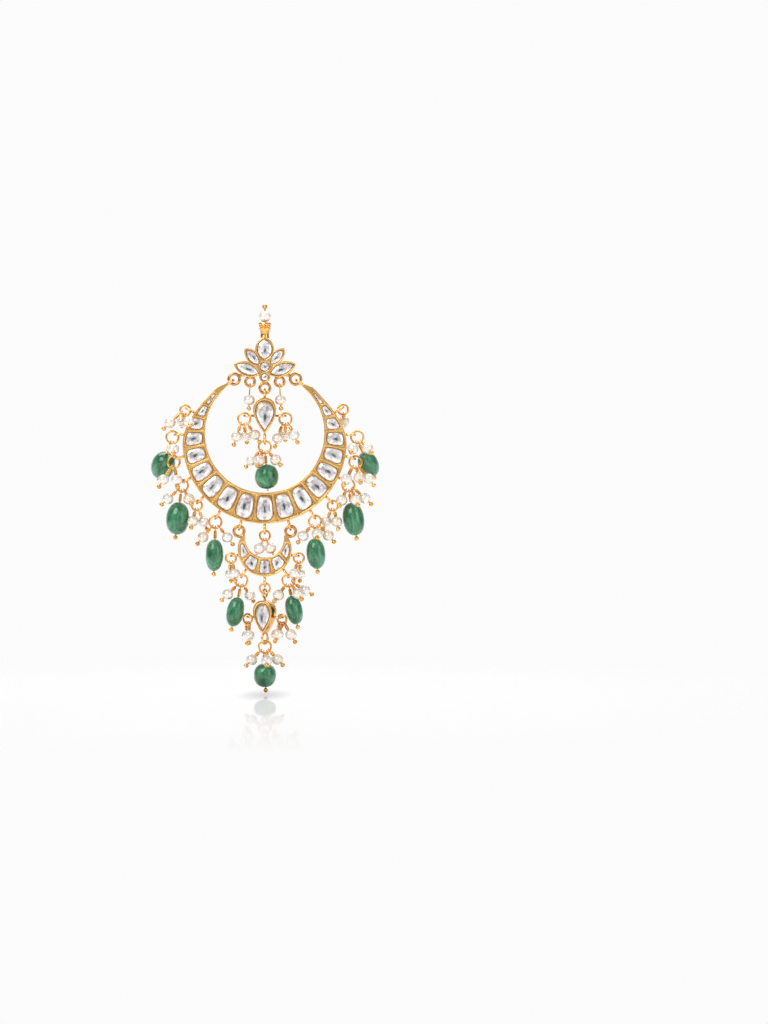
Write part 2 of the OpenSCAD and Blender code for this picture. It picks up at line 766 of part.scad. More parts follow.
function pear_stone(l, w, at_y) =
    moved(pear(l - 3.2 * rim_w, w - 2 * rim_w - 2 * stone_gap, stone_points), [0, at_y]);
function pear_ends(l, w, at_y) =
    let (side_end = w / 2 + side_stub - side_bite + 2 * side_lug_r)
    [[-side_end, at_y], [0, at_y - l / 2 - 2 * lug_r], [side_end, at_y]];
function pear_rings(l, w, at_y, hangs) = [for (i = [0:2]) hung(pear_ends(l, w, at_y)[i], hangs[i][1], 0)];
pendant_rings = pear_rings(pendant_l, pendant_w, pendant_y, PENDANT_HANGS);
pendant_radii = [for (h = PENDANT_HANGS) h[1]];
drop_rings = pear_rings(drop_l, drop_w, drop_y, DROP_HANGS);
drop_radii = [for (h = DROP_HANGS) h[1]];
// The pendant's bead pin is as long as the crescent's opening allows
pendant_bead_l = PENDANT_BEAD[6] * bead_l;
pendant_wrap = pendant_bead_room - pin_loop_r - wrap_start - pendant_bead_l - 2 * bore_gap - 2 * flat_head;
pendant_bead_row = [for (k = [0:6]) k == 4 ? pendant_wrap / wrap_pitch : PENDANT_BEAD[k]];

module flat_pin(loop_r, wrap_length, load_l) {
    end = loop_r + wrap_start + wrap_length + load_l + 2 * bore_gap;
    difference() {
        headpin(loop_r, wrap_length, load_l);
        translate([0, -end - flat_head - bead_w, 0])
            cube(2 * bead_w, center = true);
    }
}

module pendant_frame() {
    color(gold)
        stand() {
            pear_frame(pendant_l, pendant_w, pendant_y);
            edge_ring(pendant_hook, 0, pear_loop_r, pear_wire_r);
        }
}

module pendant_stone() {
    stand()
        cut_stone(pear_stone(pendant_l, pendant_w, pendant_y));
}

module pendant_findings() {
    color(gold)
        stand() {
            for (i = [0:2])
                translate(pendant_rings[i])
                    wire_ring(pendant_radii[i], ring_wire_r);
            pearl_pins(pendant_rings, pendant_radii, PENDANT_PEARLS);
            on_ring(pendant_rings[1], pendant_radii[1], pendant_bead_row)
                flat_pin(pin_loop_r, pendant_wrap, pendant_bead_l);
        }
}

module pendant_pearls() {
    stand()
        pin_pearls(pendant_rings, pendant_radii, PENDANT_PEARLS);
}

module pendant_bead() {
    stand()
        pin_bead(pendant_rings, pendant_radii, pendant_bead_row);
}

// Small crescent
small_roots = [for (h = SMALL_HANGS) [0, small_y] + spoke(h[0], small_edge(h[0]))];
small_lug_radii = [small_side_lug_r, lug_r, lug_r, small_side_lug_r];
small_rings = [for (i = [0:3])
    let (h = SMALL_HANGS[i])
    hung(lug_end(small_roots[i], h[1], small_lug_radii[i]), h[2], h[3])];
small_radii = [for (h = SMALL_HANGS) h[2]];

module small_crescent_frame() {
    color(gold)
        stand() {
            translate([0, small_y, 0])
                difference() {
                    plate(frame_depth)
                        band(small_r, neck_angle, false);
                    for (i = [-2:2])
                        translate([0, 0, floor_z])
                            linear_extrude(frame_depth)
                                polygon(cell_room(SMALL_CELLS, i, small_r, false));
                }
            for (side = [-1, 1])
                translate([side * small_hook[0], small_hook[1]])
                    wire_ring(small_loop_r, small_wire_r);
            for (i = [0:3])
                lug(small_roots[i], SMALL_HANGS[i][1], small_lug_radii[i]);
            lug(drop_lug_root, 0, lug_r);
        }
}

module small_crescent_stone(number) {
    outline = cell_stone(cell_edges(SMALL_CELLS, number - 3), small_r, false, crisp_corner, cell_spare);
    stand()
        cut_stone(moved(outline, [0, small_y]));
}

module small_crescent_findings() {
    color(gold)
        stand() {
            for (i = [0:3])
                translate(small_rings[i])
                    wire_ring(small_radii[i], ring_wire_r);
            pearl_pins(small_rings, small_radii, SMALL_PEARLS);
            bead_pins(small_rings, small_radii, SMALL_BEADS);
        }
}

module small_crescent_pearls() {
    stand()
        pin_pearls(small_rings, small_radii, SMALL_PEARLS);
}

module small_crescent_bead(number) {
    stand()
        pin_bead(small_rings, small_radii, SMALL_BEADS[number]);
}

// Drop, turned about its hanging line
module turn_drop() {
    rotate([0, -drop_turn, 0])
        children();
}

module drop_frame() {
    color(gold)
        stand()
            turn_drop() {
                pear_frame(drop_l, drop_w, drop_y);
                edge_ring(drop_hook, 0, pear_loop_r, pear_wire_r);
                bar([0, drop_top - 0.5], [0, drop_top + drop_neck], pear_wire_r);
            }
}

module drop_stone() {
    stand()
        turn_drop()
            cut_stone(pear_stone(drop_l, drop_w, drop_y));
}

module drop_findings() {
    color(gold)
        stand() {
            translate(drop_ring)
                wire_ring(small_ring_r, ring_wire_r);
            turn_drop() {
                for (i = [0, 2])
                    translate(drop_rings[i])
                        wire_ring(drop_radii[i], ring_wire_r);
                pearl_pins(drop_rings, drop_radii, DROP_PEARLS);
            }
            translate(drop_rings[1])
                wire_ring(drop_radii[1], ring_wire_r);
            pearl_pins(drop_rings, drop_radii, DROP_FOOT_PEARLS);
            bead_pins(drop_rings, drop_radii, [DROP_BEAD]);
        }
}

module drop_pearls() {
    stand() {
        turn_drop()
            pin_pearls(drop_rings, drop_radii, DROP_PEARLS);
        pin_pearls(drop_rings, drop_radii, DROP_FOOT_PEARLS);
    }
}

module drop_bead() {
    stand()
        pin_bead(drop_rings, drop_radii, DROP_BEAD);
}

stud_frame();
lotus_stone(0);  // lotus_stone_top
lotus_stone(1);  // lotus_stone_side_left
lotus_stone(2);  // lotus_stone_side_right
lotus_stone(3);  // lotus_stone_wide_left
lotus_stone(4);  // lotus_stone_wide_right
lotus_stone(5);  // lotus_stone_centre
lotus_stone(6);  // lotus_stone_low
stud_headpins();
stud_pearls();
crescent_frame();
for (i = [1:19]) crescent_stone(i);
crescent_jump_rings();
crescent_headpins();
crescent_pearls();
for (i = [1:6]) crescent_bead(i);
pendant_frame();
pendant_stone();
pendant_findings();
pendant_pearls();
pendant_bead();
small_crescent_frame();
for (i = [1:5]) small_crescent_stone(i);
small_crescent_findings();
small_crescent_pearls();
small_crescent_bead(0);  // small_crescent_bead_left
small_crescent_bead(1);  // small_crescent_bead_right
drop_frame();
drop_stone();
drop_findings();
drop_pearls();
drop_bead();
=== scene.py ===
"""A chandbali earring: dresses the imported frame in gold, foil-backed stones, pearls and green beads."""

import json
import math

import bmesh
import bpy
from mathutils import Matrix, Vector, noise


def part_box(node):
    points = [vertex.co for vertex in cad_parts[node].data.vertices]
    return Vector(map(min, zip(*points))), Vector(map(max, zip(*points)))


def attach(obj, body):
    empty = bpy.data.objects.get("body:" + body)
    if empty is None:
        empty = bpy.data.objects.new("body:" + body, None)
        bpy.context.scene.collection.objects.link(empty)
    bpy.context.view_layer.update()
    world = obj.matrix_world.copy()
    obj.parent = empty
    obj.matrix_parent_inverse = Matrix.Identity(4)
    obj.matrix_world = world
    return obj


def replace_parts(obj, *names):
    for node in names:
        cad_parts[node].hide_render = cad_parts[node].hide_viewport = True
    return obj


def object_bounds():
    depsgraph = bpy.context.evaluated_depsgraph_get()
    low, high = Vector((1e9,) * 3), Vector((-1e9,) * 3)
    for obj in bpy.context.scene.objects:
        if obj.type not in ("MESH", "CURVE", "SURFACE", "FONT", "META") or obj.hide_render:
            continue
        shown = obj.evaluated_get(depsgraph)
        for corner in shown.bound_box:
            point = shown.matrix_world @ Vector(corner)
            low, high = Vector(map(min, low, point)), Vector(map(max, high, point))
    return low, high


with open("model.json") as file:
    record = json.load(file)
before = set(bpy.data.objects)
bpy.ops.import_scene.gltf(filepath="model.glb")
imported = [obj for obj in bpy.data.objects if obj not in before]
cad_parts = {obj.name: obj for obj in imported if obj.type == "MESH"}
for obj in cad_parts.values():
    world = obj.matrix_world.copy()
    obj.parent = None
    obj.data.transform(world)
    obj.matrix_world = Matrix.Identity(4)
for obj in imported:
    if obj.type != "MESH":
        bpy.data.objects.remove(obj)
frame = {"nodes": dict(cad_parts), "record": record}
CAD_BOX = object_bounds()
NODES = frame["nodes"]
BODY_OF = {node: body for body, nodes in frame["record"]["behaviour"]["bodies"].items() for node in nodes}
scene = bpy.context.scene

MM = 0.001
# Depths in the row frame, in mm: the frames' front face, their mid-plane, and the plate behind the stones
FRONT_Y, MID_Y, FLOOR_Y = -2.6, -1.3, -0.9
# The pear drop has turned by this angle about its hanging line
DROP_TURN = math.radians(-28)
# Exponents of the rounded outlines: a bead's, and the one that the foil leaves clear on a stone
BEAD_CORNER, STONE_CORNER = 2.2, 2.3
# A bead's radius at its holes, as a share of its widest
BEAD_BORE = 0.02
# How far the widest outline of a CAD stone lies behind the frames' front face
GIRDLE_DEPTH = 0.35
# The softened edges of a frame, and the angle from which an edge is drawn sharp
FRAME_BEVEL, SHARP = 0.12, math.radians(34)

# Beads: the angle that each points to in the face, its lean to the front, and its width and length in mm
BEADS = {
    "crescent_bead_1": (-20, -35, 5.8, 7.42),
    "crescent_bead_2": (-7, 0, 5.7, 7.88),
    "crescent_bead_3": (-2, 0, 4.35, 7.8),
    "crescent_bead_4": (5, 0, 4.6, 7.58),
    "crescent_bead_5": (9, 0, 5.25, 8.1),
    "crescent_bead_6": (24, -34, 5.1, 7.05),
    "pendant_bead": (4, 0, 5.9, 6.15),
    "small_crescent_bead_left": (-12, 0, 4.3, 7.28),
    "small_crescent_bead_right": (12, 0, 4.2, 7.05),
    "drop_bead": (3, 0, 5.5, 5.85),
}


# Materials


def material(name):
    """A new node material, its tree's nodes and links, and its shader."""
    made = bpy.data.materials.new(name)
    made.use_nodes = True
    tree = made.node_tree
    return made, tree, tree.nodes["Principled BSDF"]


def node(tree, kind, **settings):
    made = tree.nodes.new(kind)
    for key, value in settings.items():
        setattr(made, key, value)
    return made


def ramp(tree, factor, stops):
    """A colour ramp on a factor, through (position, colour) stops."""
    made = node(tree, "ShaderNodeValToRGB")
    bands = made.color_ramp.elements
    while len(bands) < len(stops):
        bands.new(0.5)
    for band, (place, colour) in zip(bands, stops):
        band.position = place
        band.color = (*colour, 1)
    tree.links.new(factor, made.inputs["Fac"])
    return made.outputs["Color"]


def mottle(tree, vector, scale, detail=3.0, roughness=0.5, distortion=0.0):
    """A noise factor at a scale in turns per metre."""
    made = node(tree, "ShaderNodeTexNoise")
    made.inputs["Scale"].default_value = scale
    made.inputs["Detail"].default_value = detail
    made.inputs["Roughness"].default_value = roughness
    made.inputs["Distortion"].default_value = distortion
    if vector is not None:
        tree.links.new(vector, made.inputs["Vector"])
    return made.outputs["Fac"]


def object_point(tree, scale=(1, 1, 1), turn=(0, 0, 0), shift=(0, 0, 0)):
    """The object's own coordinates, scaled, turned and shifted."""
    source = node(tree, "ShaderNodeTexCoord")
    mapping = node(tree, "ShaderNodeMapping")
    mapping.inputs["Scale"].default_value = scale
    mapping.inputs["Rotation"].default_value = turn
    mapping.inputs["Location"].default_value = shift
    tree.links.new(source.outputs["Object"], mapping.inputs["Vector"])
    return mapping.outputs["Vector"]


def mixed(tree, factor, first, second, blend="MIX"):
    """first and second may be a colour or an output."""
    made = node(tree, "ShaderNodeMix", data_type="RGBA", blend_type=blend)
    for value, socket in ((factor, made.inputs[0]), (first, made.inputs[6]), (second, made.inputs[7])):
        if isinstance(value, bpy.types.NodeSocket):
            tree.links.new(value, socket)
        else:
            socket.default_value = value if isinstance(value, float) else (*value, 1)
    return made.outputs[2]


def spread(tree, value, low, high, to_low, to_high):
    made = node(tree, "ShaderNodeMapRange")
    for name, number in (("From Min", low), ("From Max", high), ("To Min", to_low), ("To Max", to_high)):
        made.inputs[name].default_value = number
    tree.links.new(value, made.inputs["Value"])
    return made.outputs["Result"]


def bump(tree, shader, height, strength, distance):
    made = node(tree, "ShaderNodeBump")
    made.inputs["Strength"].default_value = strength
    made.inputs["Distance"].default_value = distance
    tree.links.new(height, made.inputs["Height"])
    tree.links.new(made.outputs["Normal"], shader.inputs["Normal"])


def calc(tree, operation, first, second=0.0):
    """One sum on two values, each a number or an output."""
    made = node(tree, "ShaderNodeMath", operation=operation)
    for value, socket in zip((first, second), made.inputs):
        if isinstance(value, bpy.types.NodeSocket):
            tree.links.new(value, socket)
        else:
            socket.default_value = value
    return made.outputs[0]


def gold(name, bright, deep, recess_shade=None, turn=0.0, rough=(0.12, 0.24)):
    """Yellow gold. With a shade colour it is painted darker from the frames' front face down to the plate: painted
    shade in the frames' hollows.
    """
    made, tree, shader = material(name)
    point = object_point(tree)
    colour = ramp(tree, mottle(tree, point, 300, 3.0, 0.5), [(0.3, deep), (0.62, bright)])
    if recess_shade:
        # Painted shade: the gold is painted darker the deeper it lies below the front face, less so towards the
        # back, and in patches
        apart = node(tree, "ShaderNodeSeparateXYZ")
        tree.links.new(object_point(tree, turn=(0, 0, turn)), apart.inputs[0])
        depth = spread(tree, apart.outputs["Y"], FRONT_Y * MM + 0.00012, FRONT_Y * MM + 0.0006, 0, 1)
        behind = spread(tree, apart.outputs["Y"], -0.0005, 0.0, 1, 0.35)
        patchy = spread(tree, mottle(tree, point, 1500, 3.0), 0.3, 0.6, 0.6, 0.95)
        colour = mixed(tree, calc(tree, "MULTIPLY", calc(tree, "MULTIPLY", depth, behind), patchy), colour, recess_shade)
    tree.links.new(colour, shader.inputs["Base Color"])
    tree.links.new(spread(tree, mottle(tree, point, 2600, 2.0), 0.35, 0.65, *rough), shader.inputs["Roughness"])
    shader.inputs["Metallic"].default_value = 1.0
    bump(tree, shader, mottle(tree, point, 700, 2.0, 0.5), 0.08, 0.00005)
    return made


def cut_stone():
    """A foil-backed white stone.

    Each mesh corner holds its facet's tone, which the material paints as a light or dark reflection, its place along
    and across, and its share of the outline.
    """
    made, tree, shader = material("cut_stone")
    paint = node(tree, "ShaderNodeVertexColor", layer_name="facets")
    apart = node(tree, "ShaderNodeSeparateColor")
    tree.links.new(paint.outputs["Color"], apart.inputs[0])
    tone = apart.outputs["Red"]
    along, across = (spread(tree, apart.outputs[k], 0, 1, -2, 2) for k in ("Green", "Blue"))
    point = object_point(tree)
    ripple = calc(tree, "SUBTRACT", mottle(tree, point, 1100, 3.0, 0.55), 0.5)
    inner = node(tree, "ShaderNodeTexVoronoi", feature="F1")
    inner.inputs["Scale"].default_value = 780
    tree.links.new(object_point(tree, scale=(1, 0.2, 1)), inner.inputs["Vector"])
    glint = node(tree, "ShaderNodeSeparateColor")
    tree.links.new(inner.outputs["Color"], glint.inputs[0])
    # Painted reflections: each facet's tone and the Voronoi glints paint the facets light and dark, as if they
    # caught the light
    value = calc(tree, "ADD", calc(tree, "MULTIPLY", tone, 0.72), calc(tree, "MULTIPLY", glint.outputs["Red"], 0.28))
    value = calc(tree, "ADD", value, calc(tree, "MULTIPLY", ripple, 0.5))
    body = ramp(
        tree,
        value,
        [
            (0.12, (0.36, 0.32, 0.34)),
            (0.34, (0.66, 0.61, 0.62)),
            (0.5, (0.87, 0.84, 0.84)),
            (0.63, (0.99, 0.98, 0.97)),
        ],
    )
    # The keel: a short dark dash along the stone, with a paler trail, both painted shade for the keel seen through
    # the stone
    u = calc(tree, "DIVIDE", calc(tree, "ADD", along, calc(tree, "MULTIPLY", ripple, 0.35)), 0.3)
    v = calc(tree, "DIVIDE", calc(tree, "ADD", across, calc(tree, "MULTIPLY", ripple, 0.5)), 0.17)
    off = calc(tree, "SQRT", calc(tree, "ADD", calc(tree, "MULTIPLY", u, u), calc(tree, "MULTIPLY", v, v)))
    body = mixed(tree, spread(tree, off, 1.1, 2.6, 0.55, 0), body, (0.34, 0.35, 0.40))
    body = mixed(tree, spread(tree, off, 0.55, 1.15, 0.95, 0), body, (0.045, 0.055, 0.085))
    # Warm foil shows round the edge, and most in the corners; its dark brown is partly painted shade where the stone
    # meets its setting
    powers = [calc(tree, "POWER", calc(tree, "ABSOLUTE", side), STONE_CORNER) for side in (along, across)]
    round_reach = calc(tree, "POWER", calc(tree, "ADD", *powers), 1 / STONE_CORNER)
    reach = calc(tree, "MAXIMUM", paint.outputs["Alpha"], calc(tree, "MULTIPLY", round_reach, 0.98))
    reach = calc(tree, "ADD", reach, calc(tree, "MULTIPLY", ripple, 0.12))
    body = mixed(tree, spread(tree, reach, 0.84, 0.95, 0, 0.92), body, (0.44, 0.26, 0.09))
    tree.links.new(body, shader.inputs["Base Color"])
    tree.links.new(spread(tree, reach, 0.75, 0.95, 0.1, 0.25), shader.inputs["Roughness"])
    shader.inputs["Metallic"].default_value = 0.3
    shader.inputs["Coat Weight"].default_value = 1.0
    shader.inputs["Coat Roughness"].default_value = 0.02
    bump(tree, shader, mottle(tree, point, 700, 2.0), 0.15, 0.00006)
    return made


def nacre():
    made, tree, shader = material("pearl_nacre")
    point = object_point(tree)
    tint = mottle(tree, point, 150, 1.0)
    body = ramp(tree, tint, [(0.36, (0.91, 0.79, 0.65)), (0.5, (0.94, 0.89, 0.82)), (0.64, (0.93, 0.90, 0.90))])
    cloud = spread(tree, mottle(tree, point, 700, 3.0, 0.6), 0.5, 0.72, 0, 0.4)
    body = mixed(tree, cloud, body, (0.66, 0.56, 0.47))
    # Painted shade: the rim, where the pearl turns away from view, is painted dark brown
    edge = node(tree, "ShaderNodeLayerWeight")
    edge.inputs["Blend"].default_value = 0.4
    body = mixed(tree, spread(tree, edge.outputs["Facing"], 0.22, 0.9, 0, 0.92), body, (0.40, 0.29, 0.20))
    tree.links.new(body, shader.inputs["Base Color"])
    tree.links.new(spread(tree, mottle(tree, point, 900, 2.0), 0.35, 0.65, 0.14, 0.26), shader.inputs["Roughness"])
    shader.inputs["Metallic"].default_value = 0.28
    shader.inputs["Subsurface Weight"].default_value = 0.05
    shader.inputs["Subsurface Radius"].default_value = (0.6, 0.45, 0.35)
    shader.inputs["Subsurface Scale"].default_value = 0.0004
    shader.inputs["Coat Weight"].default_value = 1.0
    shader.inputs["Coat Roughness"].default_value = 0.05
    bump(tree, shader, mottle(tree, point, 700, 2.0), 0.12, 0.0001)
    return made


def emerald(name, seed):
    """Polished green stone, streaked along the bead, with dark clouds and a few pale veins."""
    made, tree, shader = material(name)
    streak = object_point(tree, scale=(1, 1, 0.42), shift=(seed * 0.013, seed * 0.007, 0))
    cloud = mottle(tree, streak, 300, 6.0, 0.62, 1.6)
    body = ramp(
        tree,
        cloud,
        [
            (0.3, (0.007, 0.068, 0.026)),
            (0.45, (0.018, 0.165, 0.066)),
            (0.58, (0.048, 0.265, 0.12)),
            (0.74, (0.15, 0.44, 0.25)),
        ],
    )
    vein = calc(tree, "ABSOLUTE", calc(tree, "SUBTRACT", mottle(tree, streak, 240, 3.0, 0.5, 2.4), 0.5))
    body = mixed(tree, spread(tree, vein, 0.0, 0.03, 0.22, 0), body, (0.14, 0.34, 0.22))
    dusk = spread(tree, mottle(tree, streak, 520, 4.0, 0.7), 0.5, 0.72, 0, 0.75)
    body = mixed(tree, dusk, body, (0.006, 0.05, 0.024))
    # Painted shade: the rim, where the bead turns away from view, is painted a darker green
    edge = node(tree, "ShaderNodeLayerWeight")
    edge.inputs["Blend"].default_value = 0.35
    body = mixed(tree, spread(tree, edge.outputs["Facing"], 0.4, 1.0, 0, 0.7), body, (0.004, 0.035, 0.018))
    tree.links.new(body, shader.inputs["Base Color"])
    tree.links.new(spread(tree, cloud, 0.3, 0.7, 0.12, 0.24), shader.inputs["Roughness"])
    shader.inputs["Coat Weight"].default_value = 0.6
    shader.inputs["Coat Roughness"].default_value = 0.04
    bump(tree, shader, mottle(tree, streak, 1300, 3.0), 0.12, 0.00008)
    return made


# The third colour is painted shade: the dark brown that the gold takes deep in the frames' cells
BRIGHT, DEEP, RECESS_SHADE = (1.0, 0.66, 0.27), (0.92, 0.52, 0.17), (0.60, 0.30, 0.09)
FRAME_GOLD = gold("frame_gold", BRIGHT, DEEP, recess_shade=RECESS_SHADE)
TURNED_GOLD = gold("turned_gold", BRIGHT, DEEP, recess_shade=RECESS_SHADE, turn=-DROP_TURN)
# The foil's gold is darker and browner than the frames': partly painted shade in the cells round the stones
SHADED_FOIL_GOLD = gold("shaded_foil_gold", (0.88, 0.55, 0.19), (0.55, 0.29, 0.08), rough=(0.2, 0.36))
WIRE_GOLD = gold("wire_gold", (0.92, 0.54, 0.17), (0.66, 0.31, 0.065), rough=(0.12, 0.24))
STONE = cut_stone()
PEARL = nacre()


# Pieces


def piece(name, body, verts, faces, finish, smooth=True, place=None):
    """A mesh piece that rides on a body and takes the finish it is given."""
    mesh = bpy.data.meshes.new(name)
    mesh.from_pydata([tuple(v) for v in verts], [], faces)
    mesh.validate()
    mesh.polygons.foreach_set("use_smooth", [smooth] * len(mesh.polygons))
    mesh.materials.append(finish)
    obj = bpy.data.objects.new(name, mesh)
    scene.collection.objects.link(obj)
    if place is not None:
        obj.matrix_world = place
    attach(obj, body)
    return obj


def islands(name):
    """The loose solids of a CAD node, each as its lowest and highest corner in metres."""
    work = bmesh.new()
    work.from_mesh(NODES[name].data)
    bmesh.ops.remove_doubles(work, verts=work.verts, dist=2e-6)
    left = set(work.verts)
    found = []
    while left:
        stack = [left.pop()]
        corners = []
        while stack:
            vert = stack.pop()
            corners.append(vert.co.copy())
            for edge in vert.link_edges:
                other = edge.other_vert(vert)
                if other in left:
                    left.remove(other)
                    stack.append(other)
        low = Vector([min(c[k] for c in corners) for k in range(3)])
        high = Vector([max(c[k] for c in corners) for k in range(3)])
        found.append((low, high))
    work.free()
    return sorted(found, key=lambda ends: (round(ends[0].z, 5), round(ends[0].x, 5)))


def pearls(name):
    """Slightly uneven pearls in the places of a CAD node's drilled ones."""
    verts, faces = [], []
    for number, (low, high) in enumerate(islands(name)):
        centre, radius = (low + high) / 2, max(high - low) / 2
        ball = bmesh.new()
        bmesh.ops.create_icosphere(ball, subdivisions=4, radius=1)
        seed = Vector((number * 3.7, len(name), number * 1.9))
        squeeze = 0.965 + 0.03 * noise.noise(seed)
        start = len(verts)
        for vert in ball.verts:
            dent = 1 + 0.03 * noise.noise(vert.co * 0.9 + seed) + 0.008 * noise.noise(vert.co * 3.1 + seed)
            shape = vert.co * dent * 0.985
            shape.z *= squeeze
            verts.append(centre + shape * radius)
        faces += [[start + v.index for v in f.verts] for f in ball.faces]
        ball.free()
    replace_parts(piece(name + "_nacre", BODY_OF[name], verts, faces, PEARL), name)


def bead(name, number):
    """A tumbled bead, not quite round, in the place of a CAD node's turned one."""
    aim, lean, width, length = BEADS[name]
    aim, lean = math.radians(aim), math.radians(lean)
    along = Vector((-math.sin(aim) * math.cos(lean), math.sin(lean), math.cos(aim) * math.cos(lean)))
    low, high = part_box(name)
    place = Matrix.Translation((low + high) / 2) @ along.to_track_quat("Z", "Y").to_matrix().to_4x4()
    rows, spokes = 34, 48
    verts = []
    for i in range(rows + 1):
        u = -math.cos(math.pi * i / rows)
        radius = max(BEAD_BORE, (1 - abs(u) ** BEAD_CORNER) ** (1 / BEAD_CORNER)) if abs(u) < 1 else BEAD_BORE
        for k in range(spokes):
            a = 2 * math.pi * k / spokes
            point = Vector((math.cos(a) * radius, math.sin(a) * radius, u))
            seed = Vector((number * 5.3, number * 2.1, 0))
            dent = 0.978 + 0.035 * noise.noise(point * 0.8 + seed) + 0.012 * noise.noise(point * 2.3 + seed)
            verts.append(Vector((point.x * width / 2, point.y * width / 2, point.z * length / 2)) * dent * MM)
    faces = [
        [i * spokes + k, i * spokes + (k + 1) % spokes, (i + 1) * spokes + (k + 1) % spokes, (i + 1) * spokes + k]
        for i in range(rows)
        for k in range(spokes)
    ]
    faces += [list(range(spokes - 1, -1, -1)), [rows * spokes + k for k in range(spokes)]]
    finish = emerald(name + "_stone", number)
    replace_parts(piece(name + "_green", BODY_OF[name], verts, faces, finish, place=place), name)


def turned_about(turn):
    """The turn of the drop about its hanging line, or its undoing."""
    line = Matrix.Translation((0, MID_Y * MM, 0))
    return line @ Matrix.Rotation(turn, 4, "Z") @ line.inverted()


def girdle(name, turn):
    """A CAD stone's widest outline in face coordinates (x, z), in mm, anticlockwise, and its middle."""
    back = turned_about(-turn)
    points = {tuple(round(c / MM, 3) for c in back @ v.co) for v in NODES[name].data.vertices}
    level = FRONT_Y + GIRDLE_DEPTH
    ring = [(x, z) for x, y, z in points if abs(y - level) < 0.02]
    middle = Vector((sum(x for x, z in ring) / len(ring), sum(z for x, z in ring) / len(ring)))
    ring.sort(key=lambda p: math.atan2(p[1] - middle.y, p[0] - middle.x))
    return [Vector(p) for p in ring], middle


def longest(ring, middle):
    """The direction in which an outline is longest."""
    xx = sum((p.x - middle.x) ** 2 for p in ring)
    zz = sum((p.y - middle.y) ** 2 for p in ring)
    xz = sum((p.x - middle.x) * (p.y - middle.y) for p in ring)
    angle = 0.5 * math.atan2(2 * xz, xx - zz)
    return Vector((math.cos(angle), math.sin(angle)))


def stone(name, number, turn=0.0):
    """A foil-backed flat-cut stone: a crown of facets, and a table that folds along a keel, where the material
    paints a dark dash of shade.
    """
    ring, middle = girdle(name, turn)
    along = longest(ring, middle)
    across = Vector((-along.y, along.x))
    half = max(abs((p - middle).dot(along)) for p in ring)
    wide = max(abs((p - middle).dot(across)) for p in ring)
    drift = 0.16 * wide * noise.noise(Vector((number * 2.3, 7.7, 0)))
    # Rings of points: the outline's share that each fills, its depth, and every how many points it takes
    rings = [
        (1.0, FLOOR_Y - 0.1, 1),
        (1.0, FRONT_Y + 0.42, 1),
        (0.93, FRONT_Y + 0.2, 1),
        (0.66, FRONT_Y - 0.02, 2),
        (0.4, FRONT_Y - 0.08, 2),
    ]
    verts, shares, starts = [], [], []
    for share, depth, step in rings:
        starts.append(len(verts))
        uneven = 1 if share < 0.9 else 0
        for k, p in enumerate(ring[::step]):
            wobble = 1 + uneven * 0.07 * noise.noise(Vector((k * 2.3, number * 3.1, share * 9)))
            lift = uneven * 0.03 * noise.noise(Vector((k * 3.1, number, share * 5)))
            q = middle + (p - middle) * share * wobble
            verts.append((q.x, depth + lift, q.y))
            shares.append(share)
    starts.append(len(verts))
    ends = [middle + along * (half * s) + across * drift for s in (-0.22, 0.22)]
    verts += [(e.x, FRONT_Y - 0.1, e.y) for e in ends]
    shares += [0.1, 0.1]
    faces = []
    for level in range(len(rings) - 1):
        lower, upper, after = starts[level : level + 3]
        low_count, high_count = upper - lower, after - upper
        for k in range(high_count):
            b, c = upper + k, upper + (k + 1) % high_count
            if low_count == high_count:
                faces.append([b - low_count, c - low_count, c, b])
            else:
                left, mid, right = (lower + (2 * k + i) % low_count for i in range(3))
                faces += [[left, mid, b], [mid, right, c], [mid, c, b]]
    top, count = starts[-2], starts[-1] - starts[-2]
    near = [0 if (p - middle).dot(along) < 0 else 1 for p in ring[::2]]
    for k in range(count):
        after = (k + 1) % count
        faces.append([top + k, top + after, starts[-1] + near[k]])
        if near[k] != near[after]:
            faces.append([top + after, starts[-1] + near[after], starts[-1] + near[k]])
    spin = turned_about(turn)
    placed = [spin @ (Vector(v) * MM) for v in verts]
    made = piece(name + "_cut", BODY_OF[name], placed, faces, STONE, smooth=False)
    work = bmesh.new()
    work.from_mesh(made.data)
    bmesh.ops.recalc_face_normals(work, faces=work.faces)
    work.to_mesh(made.data)
    work.free()
    # The painted dark keel sits a little towards the foot of the stone
    shift = -0.12 if along.y > 0 else 0.12
    paint = made.data.color_attributes.new("facets", "FLOAT_COLOR", "CORNER")
    for face in made.data.polygons:
        # Each facet's random tone becomes its painted reflection in the stone's material
        tone = 0.5 + 0.75 * noise.noise(Vector((face.index * 1.7, number * 4.3, 2.2)))
        for loop in face.loop_indices:
            index = made.data.loops[loop].vertex_index
            out = Vector((verts[index][0], verts[index][2])) - middle
            place = (out.dot(along) / half - shift, (out.dot(across) - drift) / wide)
            paint.data[loop].color = (tone, *(side / 4 + 0.5 for side in place), shares[index])
    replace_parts(made, name)


def front_edges(name, turn):
    """The edges of a frame's front face, as pairs of face points in mm."""
    unspin = turned_about(-turn)
    mesh = NODES[name].data
    points = [unspin @ v.co / MM for v in mesh.vertices]
    seen = {}
    for face in mesh.polygons:
        corners = [points[i] for i in face.vertices]
        if max(abs(c.y - FRONT_Y) for c in corners) > 0.01:
            continue
        flat = [(round(c.x, 3), round(c.z, 3)) for c in corners]
        for a, b in zip(flat, flat[1:] + flat[:1]):
            key = (min(a, b), max(a, b))
            seen[key] = seen.get(key, 0) + 1
    return [(Vector(a), Vector(b)) for (a, b), times in seen.items() if times == 1]


def hit(start, way, edges):
    """How far a ray goes from start to the nearest of some edges."""
    best = 1e9
    for a, b in edges:
        side = b - a
        cross = way.x * side.y - way.y * side.x
        if abs(cross) < 1e-9:
            continue
        gap = a - start
        far = (gap.x * side.y - gap.y * side.x) / cross
        part = (gap.x * way.y - gap.y * way.x) / cross
        if far > 0 and -0.001 <= part <= 1.001:
            best = min(best, far)
    return best


